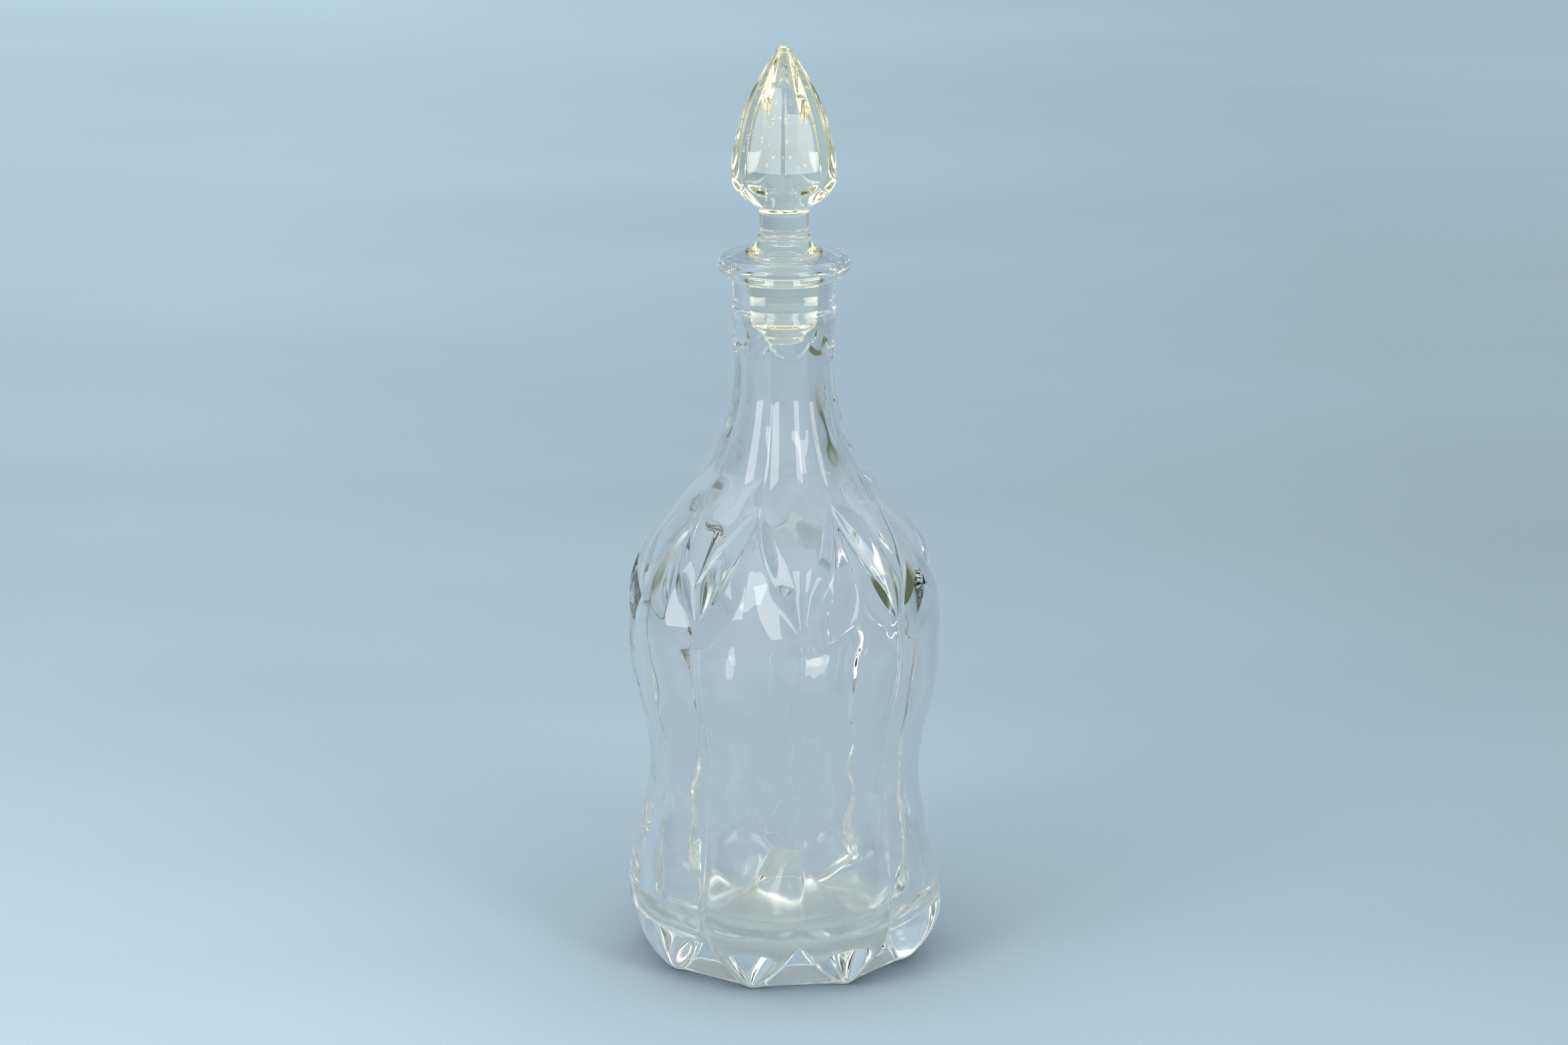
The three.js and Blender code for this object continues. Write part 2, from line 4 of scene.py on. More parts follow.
import bmesh
import bpy
import numpy as np
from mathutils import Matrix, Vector


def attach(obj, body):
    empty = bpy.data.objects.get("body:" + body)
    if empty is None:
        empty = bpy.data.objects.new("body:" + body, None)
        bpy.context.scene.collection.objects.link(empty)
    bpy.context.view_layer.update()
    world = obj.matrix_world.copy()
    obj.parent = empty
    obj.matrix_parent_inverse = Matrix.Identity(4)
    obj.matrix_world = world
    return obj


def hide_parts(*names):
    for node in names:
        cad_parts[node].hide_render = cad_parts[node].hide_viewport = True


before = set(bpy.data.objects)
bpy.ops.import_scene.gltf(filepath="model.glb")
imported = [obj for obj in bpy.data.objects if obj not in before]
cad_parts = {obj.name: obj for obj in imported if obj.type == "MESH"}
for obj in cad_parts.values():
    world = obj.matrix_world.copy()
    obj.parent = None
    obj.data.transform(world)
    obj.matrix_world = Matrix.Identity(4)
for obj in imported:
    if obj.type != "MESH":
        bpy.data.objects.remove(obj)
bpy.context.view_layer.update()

MM = 0.001
TURN = 2 * math.pi

# Pattern of the bottle, in millimetres
LOBES = 8
HALF_SECTOR = math.pi / LOBES
FIRST_GROOVE = -math.pi / 2

# Crest line
FOOT_RADIUS = 44.0
BULGE_RADIUS = 55.7
BULGE_HEIGHT = 21.0
WAIST_RADIUS = 47.7
WAIST_HEIGHT = 69.0
SHOULDER_START_HEIGHT = 112.0
SHOULDER_RADIUS = 54.8
SHOULDER_HEIGHT = 124.6
SHOULDER_REACH = 35.6
FLUTE_REACH = 50.0
FLUTE_RADIUS = 16.9
FLUTE_HEIGHT = 213.3

# Groove line
FOOT_FLAT_RADIUS = 42.4
GROOVE_BULGE_RADIUS = 46.0
GROOVE_WAIST_RADIUS = 43.0
GROOVE_SHOULDER_RADIUS = 50.2
FOOT_RIM_HEIGHT = 4.6

# Ends of the lobes and petals
LOBE_END_HEIGHT = 22.5
LOBE_END_ANGLE = math.radians(3.0)
FOOT_CURVE = 0.8
PETAL_TIP_HEIGHT = 127.0
GROOVE_FADE_HEIGHT = 119.0
LOBE_APEX_HEIGHT = 167.0
PETAL_SWEEP = 1.4
VALLEY_DEPTH = 1.9
VALLEY_HALF_WIDTH = 3.5
VALLEY_LEAN = 0.86
LOBE_CROWN = 0.4
PETAL_CROWN = 0.36
MOST_CROWN = 1.08

# Neck and lip
NECK_RADIUS = 17.7
NECK_TAPER = 0.2
CREASE_TOP_HEIGHT = 220.6
ARCH_SAG = 4.0
ARCH_STEP = 2.0
NECK_TOP_HEIGHT = 237.5
LIP_RADIUS = 22.7
LIP_TUBE_RADIUS = 3.6
LIP_CENTRE_HEIGHT = 244.8
LIP_FILLET = 1.6
MOUTH_ROUNDING = 0.8

# Foot
STANDING_RING_WIDTH = 12.0
FOOT_HOLLOW_DEPTH = 2.4
FOOT_EDGE = 0.7

# Inside
LOBE_WALL = 2.5
LOBE_BASE_WALL = 3.6
GROOVE_WALL = 2.3
SHOULDER_WALL = 7.6
NECK_WALL = 4.5
FLOOR_DOME_HEIGHT = 38.0
FLOOR_TROUGH_HEIGHT = 12.5
FLOOR_CORNER_HEIGHT = 16.0
FLOOR_DOME_RADIUS = 25.0

# Ground mouth and plug
PLUG_TOP_RADIUS = 12.1
PLUG_END_RADIUS = 11.3
PLUG_LENGTH = 24.4
PLUG_CLEARANCE = 0.3
GROUND_LENGTH = 18.5
UNDERCUT_RADIUS = 13.4
UNDERCUT_LENGTH = 8.0
UNDERCUT_FLARE_LENGTH = 2.0

# Stopper
BEVEL = 0.3
PLUG_END_BEVEL = 0.4
COLLAR_OVERHANG = 1.1
COLLAR_THICKNESS = 1.0
COLLAR_TAPER = 0.1
SKIRT_HEIGHT = 3.6
SKIRT_HOLLOW = 0.5
BEAD_RADIUS = 9.4
BEAD_HEIGHT = 2.4
STEM_RADIUS = 8.35
STEM_HEIGHT = 7.0
PLUG_CHAMFER_LENGTH = 4.0
PIP_RADIUS = 6.8
PIP_LENGTH = 2.0
PANELS = 8
STOPPER_TURN = -0.154
FINIAL_RADIUS = 18.1
FINIAL_WIDEST_HEIGHT = 275.8
FINIAL_POINT_REACH = 45.7
TOTAL_HEIGHT = 320.0
TIP_HEIGHT = 2.2
BOWL_HEIGHT = 10.6
BOWL_START_RADIUS = 9.4
BOWL_FULLNESS = 0.9

# Dulled surfaces: the worn foot, and a haze on the floor of the cavity that fades out upward
FOOT_ROUGHNESS = 0.5
HAZE_ROUGHNESS = 0.18
HAZE_FULL_HEIGHT = 18.0
HAZE_TOP_HEIGHT = 36.0

# Seeds: small bubbles drawn out upward
STOPPER_SEEDS = 34
SEED_HEIGHTS = (-0.1, 0.8)
SEED_REACHES = (0.2, 0.86)
SEED_RADII = (0.25, 0.75)
SEED_STRETCH = (1.0, 1.9)

# Softening of the creases, in columns round and rows up
OUTSIDE_BLUR = (1.3, 0.9)
INSIDE_BLUR = (3.0, 1.6)
FINIAL_BLUR = (2.2, 1.2)

# Unevenness of the glass, and the numbers that start the random draws
OUTSIDE_RIPPLE = 0.035
INSIDE_RIPPLE = 0.35
RIPPLE_WAVES = 14
MOST_RIPPLE_TURNS = 14
RIPPLE_PITCHES = (14, 90)
OUTSIDE_DRAW = 3
INSIDE_DRAW = 11
SEED_DRAW = 17

# Fineness, and how far inward the bottle's outside is drawn
OUTER_INSET = 0.1
COLUMNS = 480
ROW_STEP = 0.8
FOOT_FIRST_SHARE = 0.03
FOOT_RINGS = 30
FOOT_EDGE_RINGS = 5
FILLET_RINGS = 7
LIP_RINGS = 29
MOUTH_RINGS = 6
POCKET_RINGS = 40
STOPPER_COLUMNS = 320
STOPPER_ROW_STEP = 0.4
PIP_FIRST_SHARE = 0.05
SKIRT_RINGS = 8
BEAD_RINGS = 12
TIP_RINGS = 10
TINY = 1e-6

# Glass: colour of its surface, colour and density of its depth
BOTTLE_GLASS = ((0.99, 0.99, 0.975), (0.78, 0.88, 0.83), 3)
STOPPER_GLASS = ((1.0, 0.99, 0.96), (0.98, 0.96, 0.86), 22)
GLASS_IOR = 1.51
WAVE_SCALE = 90
WAVE_STRENGTH = 0.05
WAVE_DEPTH = 0.0005
GLASS_BOUNCES = 40
REFLECTION_BOUNCES = 24

# Cloth of the backdrop: each ramp is low, high, share at low and share at high, some after an axis; the
# grain is the cloth's own, the other ramps are painted light and shade
CREASE_STRETCH = (1.2, 3.5, 9)
CREASE_SCALE = 1.0
CREASE_DETAIL = 3
# Painted shade: light and dark streaks standing in for the folds of the sheet
CREASE_PAINTED_SHADE = (0.3, 0.7, 0.965, 1.035)
GRAIN_SCALE = 900
GRAIN_SHARES = (0.25, 0.75, 0.975, 1.025)
# Painted light on the floor: a touch paler near the object, and paler again far back
FLOOR_PAINTED_LIGHT = (("Y", 0.1, 0.6, 1.06, 1.0), ("Y", 0.4, 1.9, 1.0, 1.2))
# Painted light on the wall that the glass shows: a little darker just above the floor, paler higher up
WALL_PAINTED_LIGHT = (("Z", 0.0, 0.12, 1.06, 0.91), ("Z", 0.08, 0.22, 1.0, 1.24))
# Painted shade: the sheet darker towards its right
SIDE_PAINTED_SHADE = (-0.3, 0.3, 1.01, 0.8)
# Painted light: a paler glow in the sheet under the foot, seen only through glass
GATHERED_LIGHT_PAINT = (0.56, 0.66, 0.66)
GATHERED_REACH = (0.034, 0.056, 0.8, 0.0)
THROUGH_GLASS_SHARE = 0.85
CLOTH_ROUGHNESS = 0.9
CLOTH_SPECULAR = 0.1

# Backdrop, in metres
BACKDROP_COLOUR = (0.385, 0.512, 0.61)
SWEEP_START = 0.25
SWEEP_RADIUS = 0.5
SWEEP_HEIGHT = 1.0
SWEEP_STEPS = 24
FLOOR_FRONT = -0.7
FLOOR_BACK = 2.6
FLOOR_HALF_WIDTH = 0.7
FLOOR_LEVEL = -0.0001

# Soft lamps, in metres: edges low and high, and of each its name, azimuth in degrees, width and power
LAMP_COLOUR = (1.0, 0.95, 0.88)
LAMP_DISTANCE = 0.61
LAMP_LOW = 0.215
LAMP_HIGH = 0.78
SOFTBOXES = (("left_softbox", -41, 0.27, 2.4), ("right_softbox", 35, 0.19, 1.6))

# Colours of the room that the glass sees, and the plain one that the camera sees
ROOM_COLOUR = (0.42, 0.49, 0.49)
CEILING_COLOUR = (1.26, 1.28, 1.28)
FRONT_COLOUR = (0.80, 0.81, 0.79)
CORNER_COLOUR = (0.11, 0.14, 0.08)
FLOOR_COLOUR = (0.38, 0.45, 0.45)
WARM_COLOUR = (0.60, 0.57, 0.46)
PALE_COLOUR = (0.42, 0.53, 0.60)

# Where the parts of the room lie: a direction's rise, and how far it points away from the camera's side
CEILING_RISE = (0.35, 0.8)
FLOOR_RISE = (-0.3, -0.12)
FRONT_BANDS = ((0.0, 0.75, 0.08), (-1.2, -0.6, 0.1))
CORNER_BANDS = ((-0.5, 0.42, 0.12), (-0.3, 0.45, 0.14))
WARM_BANDS = ((-0.75, -0.12, 0.05), (-1.2, -0.84, 0.06))

# Camera, fitted to the photograph; places in metres
PHOTO_WIDTH = 2353
FOCAL_PIXELS = 8700
SENSOR = 36.0
CAMERA_DISTANCE = 1.920
CAMERA_HEIGHT = 0.672
CAMERA_PITCH = math.radians(15.1)
CAMERA_TURN = math.radians(-7.4)
NEAREST_SEEN = 0.05
FARTHEST_SEEN = 50

# Sizes that follow from the ones above
LIP_TOP_HEIGHT = LIP_CENTRE_HEIGHT + LIP_TUBE_RADIUS
LIP_RING_RADIUS = LIP_RADIUS - LIP_TUBE_RADIUS
PLUG_TOP_HEIGHT = LIP_TOP_HEIGHT + PLUG_CLEARANCE
PLUG_END_HEIGHT = PLUG_TOP_HEIGHT - PLUG_LENGTH
CHAMFER_END_HEIGHT = PLUG_END_HEIGHT - PLUG_CHAMFER_LENGTH
PIP_END_HEIGHT = CHAMFER_END_HEIGHT - PIP_LENGTH
GROUND_END_HEIGHT = LIP_TOP_HEIGHT - GROUND_LENGTH
FLOOR_EDGE_HEIGHT = FLOOR_TROUGH_HEIGHT + FLOOR_CORNER_HEIGHT
COLLAR_RADIUS = PLUG_TOP_RADIUS + COLLAR_OVERHANG
COLLAR_TOP_HEIGHT = PLUG_TOP_HEIGHT + COLLAR_THICKNESS
SKIRT_TOP_HEIGHT = COLLAR_TOP_HEIGHT + SKIRT_HEIGHT
BEAD_TOP_HEIGHT = SKIRT_TOP_HEIGHT + BEAD_HEIGHT
STEM_TOP_HEIGHT = BEAD_TOP_HEIGHT + STEM_HEIGHT
TIP_START_HEIGHT = TOTAL_HEIGHT - TIP_HEIGHT


def clip01(share):
    return np.clip(share, 0.0, 1.0)


def smooth(share):
    t = clip01(share)
    return t * t * (3 - 2 * t)


def ease(start, end, share):
    return start + (end - start) * (1 - np.cos(math.pi * clip01(share))) / 2


def lerp(start, end, share):
    return start + (end - start) * share


def run(value, start, end):
    """Share of the way from start to end."""
    return (value - start) / (end - start)


def bezier(points, count=400):
    """Radii and heights along a cubic curve."""
    t = np.linspace(0, 1, count)[:, None]
    a, b, c, d = (np.array(p, float) for p in points)
    return (1 - t) ** 3 * a + 3 * (1 - t) ** 2 * t * b + 3 * (1 - t) * t * t * c + t ** 3 * d


SHOULDER_CURVE = bezier([
    (SHOULDER_RADIUS, SHOULDER_HEIGHT),
    (SHOULDER_RADIUS, SHOULDER_HEIGHT + SHOULDER_REACH),
    (FLUTE_RADIUS, FLUTE_HEIGHT - FLUTE_REACH),
    (FLUTE_RADIUS, FLUTE_HEIGHT),
])


def crest_radius(height):
    drop = clip01(run(height, BULGE_HEIGHT, 0))
    foot = FOOT_RADIUS + (BULGE_RADIUS - FOOT_RADIUS) * np.cos(drop * math.pi / 2) ** FOOT_CURVE
    bulge = ease(BULGE_RADIUS, WAIST_RADIUS, run(height, BULGE_HEIGHT, WAIST_HEIGHT))
    waist = ease(WAIST_RADIUS, SHOULDER_RADIUS, run(height, WAIST_HEIGHT, SHOULDER_START_HEIGHT))
    shoulder = np.interp(height, SHOULDER_CURVE[:, 1], SHOULDER_CURVE[:, 0])
    below = [height < BULGE_HEIGHT, height < WAIST_HEIGHT, height < SHOULDER_HEIGHT]
    return np.select(below, [foot, bulge, waist], shoulder)


def groove_radius(height):
    foot = ease(FOOT_FLAT_RADIUS, GROOVE_BULGE_RADIUS, run(height, FOOT_RIM_HEIGHT, LOBE_END_HEIGHT))
    bulge = ease(GROOVE_BULGE_RADIUS, GROOVE_WAIST_RADIUS, run(height, LOBE_END_HEIGHT, WAIST_HEIGHT))
    waist = ease(GROOVE_WAIST_RADIUS, GROOVE_SHOULDER_RADIUS, run(height, WAIST_HEIGHT, GROOVE_FADE_HEIGHT))
    return np.select([height < LOBE_END_HEIGHT, height < WAIST_HEIGHT], [foot, bulge], waist)


def valley_angle(height):
    rise = clip01(run(height, PETAL_TIP_HEIGHT, LOBE_APEX_HEIGHT))
    return HALF_SECTOR * (1 - (1 - rise) ** PETAL_SWEEP)


def lobe_half_angle(height):
    low = lerp(LOBE_END_ANGLE, HALF_SECTOR, np.sin(clip01(height / LOBE_END_HEIGHT) * math.pi / 2))
    return np.where(height < LOBE_END_HEIGHT, low, HALF_SECTOR - valley_angle(height))


def valley_depth(height):
    onset = smooth(run(height, GROOVE_FADE_HEIGHT, PETAL_TIP_HEIGHT))
    fade = 1 - clip01(run(height, PETAL_TIP_HEIGHT, LOBE_APEX_HEIGHT))
    return VALLEY_DEPTH * onset * np.sqrt(fade)


def crown_gain(half, crown):
    return np.cos(half) + crown * np.sin(half)


def arc_radius(angle, half, crest, end):
    """Radius, at an angle from the middle, of an arc through a crest and two ends."""
    chord = np.maximum(end * np.sin(half), TINY)
    most = end * crown_gain(half, MOST_CROWN)
    rise = np.maximum(np.minimum(crest, most) - end * np.cos(half), TINY)
    radius = (chord ** 2 + rise ** 2) / (2 * rise)
    centre = end * np.cos(half) + rise - radius
    side = centre * np.sin(angle)
    return centre * np.cos(angle) + np.sqrt(np.maximum(radius ** 2 - side ** 2, 0))


def shelf_radius(height):
    valley = valley_angle(height)
    gain = np.maximum(crown_gain(HALF_SECTOR - valley, LOBE_CROWN), crown_gain(valley, PETAL_CROWN))
    shelf = crest_radius(height) / gain
    share = clip01(run(height, GROOVE_FADE_HEIGHT, PETAL_TIP_HEIGHT))
    upper = lerp(np.minimum(GROOVE_SHOULDER_RADIUS, shelf), shelf, share)
    return np.where(height < GROOVE_FADE_HEIGHT, groove_radius(height), upper)


def pattern_radius(angle, height):
    """Outer radius of the lobed and petalled part, at an angle from the nearest groove."""
    half = lobe_half_angle(height)
    shelf = shelf_radius(height)
    depth = valley_depth(height)
    from_valley = np.abs(angle - (HALF_SECTOR - half)) * shelf * VALLEY_LEAN
    bevel = np.where(depth > 0, shelf - depth + from_valley * VALLEY_DEPTH / VALLEY_HALF_WIDTH, np.inf)
    crest = np.where(height < PETAL_TIP_HEIGHT, crest_radius(height), shelf * crown_gain(half, LOBE_CROWN))
    lobe = np.minimum(arc_radius(HALF_SECTOR - angle, half, crest, shelf), bevel)
    petal_half = HALF_SECTOR - half
    petal_crest = shelf * crown_gain(petal_half, PETAL_CROWN)
    petal = np.minimum(arc_radius(angle, petal_half, petal_crest, shelf), bevel)
    flat = shelf * np.cos(petal_half) / np.cos(angle)
    other = np.where(height < LOBE_END_HEIGHT, flat, petal)
    return np.where(HALF_SECTOR - angle <= half, lobe, other)


def angle_from_groove(around):
    sector = 2 * HALF_SECTOR
    return np.abs(np.mod(around - FIRST_GROOVE + HALF_SECTOR, sector) - HALF_SECTOR)


def outer_radius(around, height):
    angle = angle_from_groove(around)
    neck = NECK_RADIUS - NECK_TAPER * clip01(run(height, CREASE_TOP_HEIGHT, NECK_TOP_HEIGHT))
    arch_start = CREASE_TOP_HEIGHT - ARCH_SAG * (1 - (angle / HALF_SECTOR) ** 2) - ARCH_STEP
    share = smooth((height - arch_start) / ARCH_STEP)
    return lerp(pattern_radius(angle, height), neck, share)


def inner_radius(around, height):
    angle = angle_from_groove(around)
    body = 1 - smooth(run(height, GROOVE_FADE_HEIGHT, LOBE_APEX_HEIGHT))
    wall = ease(SHOULDER_WALL, NECK_WALL, run(height, LOBE_APEX_HEIGHT, FLUTE_HEIGHT))
    upper = crest_radius(height) - wall
    low = np.minimum(height, GROOVE_FADE_HEIGHT)
    end = groove_radius(low) - GROOVE_WALL
    crest = crest_radius(low) - ease(LOBE_BASE_WALL, LOBE_WALL, run(low, BULGE_HEIGHT, WAIST_HEIGHT))
    lobed = arc_radius(HALF_SECTOR - angle, HALF_SECTOR, crest, end)
    return lerp(upper, lobed, body)


def blur(grid, around_steps, up_steps):
    """Rounds every crease of a grid of radii, closed round the axis."""
    def kernel(sigma):
        reach = int(math.ceil(3 * sigma))
        x = np.arange(-reach, reach + 1)
        k = np.exp(-x * x / (2 * sigma * sigma))
        return k / k.sum(), reach
    k, reach = kernel(around_steps)
    out = sum(w * np.roll(grid, i - reach, axis=1) for i, w in enumerate(k))
    k, reach = kernel(up_steps)
    padded = np.pad(out, ((reach, reach), (0, 0)), mode="edge")
    return sum(w * padded[i:i + len(out)] for i, w in enumerate(k))


def ripple(around, height, size, draw):
    """Gentle unevenness, the same each run, closed round the axis."""
    rng = np.random.default_rng(draw)
    total = np.zeros(np.broadcast(around, height).shape)
    for _ in range(RIPPLE_WAVES):
        turns = rng.integers(0, MOST_RIPPLE_TURNS)
        pitch = rng.uniform(*RIPPLE_PITCHES)
        phase = rng.uniform(0, TURN, 2)
        total += np.sin(turns * around + phase[0]) * np.sin(TURN * height / pitch + phase[1])
    return size * total / math.sqrt(RIPPLE_WAVES)


def directions(count):
    return FIRST_GROOVE + TURN * np.arange(count) / count


def turned(x, y, angle=CAMERA_TURN):
    """A point turned about the axis: as it stands, from the camera's right and away to the frame's axes."""
    return x * math.cos(angle) - y * math.sin(angle), x * math.sin(angle) + y * math.cos(angle)


def ring_points(around, radius, height):
    radius = np.broadcast_to(radius, around.shape)
    height = np.broadcast_to(height, around.shape)
    return np.stack([radius * np.cos(around), radius * np.sin(around), height], 1)


def add_object(name, data):
    made = bpy.data.objects.new(name, data)
    bpy.context.scene.collection.objects.link(made)
    return made


def smooth_mesh(name, points, faces):
    mesh = bpy.data.meshes.new(name)
    mesh.from_pydata(points, [], faces)
    mesh.polygons.foreach_set("use_smooth", [True] * len(mesh.polygons))
    mesh.update()
    return mesh


def loft(name, rings, start, end):
    """Closed mesh through rings of points, from a point on the axis to another."""
    count = len(rings[0])
    points = np.concatenate([[(0, 0, start)], *rings, [(0, 0, end)]]) * MM
    column = np.arange(count)
    after = (column + 1) % count
    faces = [(0, int(a) + 1, int(b) + 1) for a, b in zip(after, column)]
    for level in range(len(rings) - 1):
        low = 1 + level * count
        high = low + count
        faces += np.stack([low + column, low + after, high + after, high + column], 1).tolist()
    last = 1 + (len(rings) - 1) * count
    top = len(points) - 1
    faces += [(int(a) + last, int(b) + last, top) for a, b in zip(column, after)]
    return add_object(name, smooth_mesh(name, points.tolist(), faces))


def spaced(start, end, step):
    count = max(int(round(abs(end - start) / step)), 1)
    return np.linspace(start, end, count + 1)


def plug_radius(height):
    return lerp(PLUG_TOP_RADIUS, PLUG_END_RADIUS, (PLUG_TOP_HEIGHT - height) / PLUG_LENGTH)


def outside_rings(around):
    heights = spaced(0, NECK_TOP_HEIGHT, ROW_STEP)
    grid = outer_radius(around[None, :], heights[:, None])
    grid = blur(grid, *OUTSIDE_BLUR)
    grid += ripple(around[None, :], heights[:, None], OUTSIDE_RIPPLE, OUTSIDE_DRAW) - OUTER_INSET
    rings = []
    hollow = FOOT_FLAT_RADIUS - STANDING_RING_WIDTH
    for share in np.linspace(FOOT_FIRST_SHARE, 1, FOOT_RINGS):
        rings.append(ring_points(around, hollow * share, FOOT_HOLLOW_DEPTH * (1 - share * share)))
    foot = grid[0]
    rings.append(ring_points(around, (hollow + foot) / 2, 0))
    for turn in np.linspace(0, math.pi / 2, FOOT_EDGE_RINGS):
        inset = FOOT_EDGE * (1 - math.sin(turn))
        rings.append(ring_points(around, foot - inset, FOOT_EDGE * (1 - math.cos(turn))))
    rings += [ring_points(around, row, height) for row, height in zip(grid, heights) if height > FOOT_EDGE]
    return rings


def lip_rings(around):
    neck = NECK_RADIUS - NECK_TAPER
    under = LIP_CENTRE_HEIGHT - LIP_TUBE_RADIUS
    rings = []
    for height in spaced(NECK_TOP_HEIGHT, under - LIP_FILLET, ROW_STEP)[1:]:
        rings.append(ring_points(around, neck, height))
    for turn in np.linspace(0, math.pi / 2, FILLET_RINGS)[1:]:
        radius = neck + LIP_FILLET * (1 - math.cos(turn))
        rings.append(ring_points(around, radius, under - LIP_FILLET * (1 - math.sin(turn))))
    for turn in np.linspace(-math.pi / 2, math.pi / 2, LIP_RINGS)[1:]:
        radius = LIP_RING_RADIUS + LIP_TUBE_RADIUS * math.cos(turn)
        rings.append(ring_points(around, radius, LIP_CENTRE_HEIGHT + LIP_TUBE_RADIUS * math.sin(turn)))
    return rings


def inside_rings(around):
    edge = LIP_TOP_HEIGHT - MOUTH_ROUNDING
    mouth = plug_radius(edge) + PLUG_CLEARANCE
    rings = []
    for radius in spaced(LIP_RING_RADIUS, mouth + MOUTH_ROUNDING, ROW_STEP)[1:]:
        rings.append(ring_points(around, radius, LIP_TOP_HEIGHT))
    for turn in np.linspace(0, math.pi / 2, MOUTH_RINGS)[1:]:
        radius = mouth + MOUTH_ROUNDING * (1 - math.sin(turn))
        rings.append(ring_points(around, radius, edge + MOUTH_ROUNDING * math.cos(turn)))
    for height in spaced(edge, GROUND_END_HEIGHT, ROW_STEP)[1:]:
        rings.append(ring_points(around, plug_radius(height) + PLUG_CLEARANCE, height))
    ground_end = plug_radius(GROUND_END_HEIGHT) + PLUG_CLEARANCE
    heights = spaced(GROUND_END_HEIGHT, FLOOR_EDGE_HEIGHT, ROW_STEP)[1:]
    grid = inner_radius(around[None, :], heights[:, None])
    below = run(heights, GROUND_END_HEIGHT, GROUND_END_HEIGHT - UNDERCUT_FLARE_LENGTH)
    opened = ease(ground_end, UNDERCUT_RADIUS, below)
    back = smooth(run(heights, GROUND_END_HEIGHT - UNDERCUT_LENGTH, FLUTE_HEIGHT - UNDERCUT_LENGTH))
    grid = np.where((heights > FLUTE_HEIGHT - UNDERCUT_LENGTH)[:, None],
                    lerp(opened[:, None], grid, back[:, None]), grid)
    grid = blur(grid, *INSIDE_BLUR)
    fade = smooth(run(heights, FLUTE_HEIGHT, LOBE_APEX_HEIGHT))[:, None]
    grid += fade * ripple(around[None, :], heights[:, None], INSIDE_RIPPLE, INSIDE_DRAW)
    rings += [ring_points(around, row, height) for row, height in zip(grid, heights)]
    return rings, grid[-1]


def floor_height(radius, edge):
    """Height of the floor: a dome in the middle, and a rounded pocket from it to the wall."""
    dome = ease(FLOOR_DOME_HEIGHT, FLOOR_TROUGH_HEIGHT, radius / FLOOR_DOME_RADIUS)
    outward = clip01(run(radius, FLOOR_DOME_RADIUS, edge))
    corner = FLOOR_TROUGH_HEIGHT + FLOOR_CORNER_HEIGHT * (1 - np.sqrt(1 - outward * outward))
    return np.where(radius < FLOOR_DOME_RADIUS, dome, corner)


def floor_rings(around, edge):
    turns = np.linspace(0, math.pi / 2, POCKET_RINGS)[1:-1]
    radii = [FLOOR_DOME_RADIUS + (edge - FLOOR_DOME_RADIUS) * math.cos(turn) for turn in turns]
    radii += list(spaced(FLOOR_DOME_RADIUS, 0, ROW_STEP)[:-1])
    return [ring_points(around, radius, floor_height(radius, edge)) for radius in radii]


def make_bottle():
    """The bottle, with the roughness of its surface kept on each point."""
    around = directions(COLUMNS)
    inside, edge = inside_rings(around)
    outer = outside_rings(around) + lip_rings(around)
    inner = inside + floor_rings(around, edge)
    bottle = loft("bottle_glass", outer + inner, FOOT_HOLLOW_DEPTH, FLOOR_DOME_HEIGHT)
    under = np.arange(len(outer) * COLUMNS) < (FOOT_RINGS + 1) * COLUMNS
    heights = np.concatenate(inner)[:, 2]
    haze = HAZE_ROUGHNESS * smooth(run(heights, HAZE_TOP_HEIGHT, HAZE_FULL_HEIGHT))
    set_roughness(bottle, [FOOT_ROUGHNESS, *(FOOT_ROUGHNESS * under), *haze, 0])
    return bottle


def set_roughness(piece, values):
    attribute = piece.data.attributes.new("surface_roughness", "FLOAT", "POINT")
    attribute.data.foreach_set("value", np.asarray(values, np.float32))


def finial_edge_radius(height):
    share = run(height, FINIAL_WIDEST_HEIGHT, FINIAL_WIDEST_HEIGHT + FINIAL_POINT_REACH)
    return FINIAL_RADIUS * (1 - share * share)


def bowl_radius(height):
    start = FINIAL_WIDEST_HEIGHT - BOWL_HEIGHT
    flare = ease(STEM_RADIUS, BOWL_START_RADIUS, run(height, STEM_TOP_HEIGHT, start))
    drop = clip01(run(height, FINIAL_WIDEST_HEIGHT, start))
    bowl = BOWL_START_RADIUS + (FINIAL_RADIUS - BOWL_START_RADIUS) * (1 - drop * drop) ** BOWL_FULLNESS
    return np.where(height < start, flare, bowl)


def panel_share(around):
    panel = TURN / PANELS
    turn = np.mod(around - FIRST_GROOVE, panel) - panel / 2
    return math.cos(panel / 2) / np.cos(turn)


def finial_radius(around, height):
    share = panel_share(around)
    upper = finial_edge_radius(height) * share
    lower = np.minimum(FINIAL_RADIUS * share, bowl_radius(height))
    return np.where(height >= FINIAL_WIDEST_HEIGHT, upper, lower)


def plug_outline():
    """Radii and heights from the end of the pip up to the collar."""
    return [(PIP_RADIUS * PIP_FIRST_SHARE, PIP_END_HEIGHT), (PIP_RADIUS - BEVEL, PIP_END_HEIGHT),
            (PIP_RADIUS, PIP_END_HEIGHT + BEVEL), (PIP_RADIUS, CHAMFER_END_HEIGHT),
            (PLUG_END_RADIUS - PLUG_END_BEVEL, PLUG_END_HEIGHT - BEVEL), (PLUG_END_RADIUS, PLUG_END_HEIGHT),
            (PLUG_TOP_RADIUS, PLUG_TOP_HEIGHT), (COLLAR_RADIUS - BEVEL, PLUG_TOP_HEIGHT),
            (COLLAR_RADIUS, PLUG_TOP_HEIGHT + BEVEL), (COLLAR_RADIUS - COLLAR_TAPER, COLLAR_TOP_HEIGHT)]


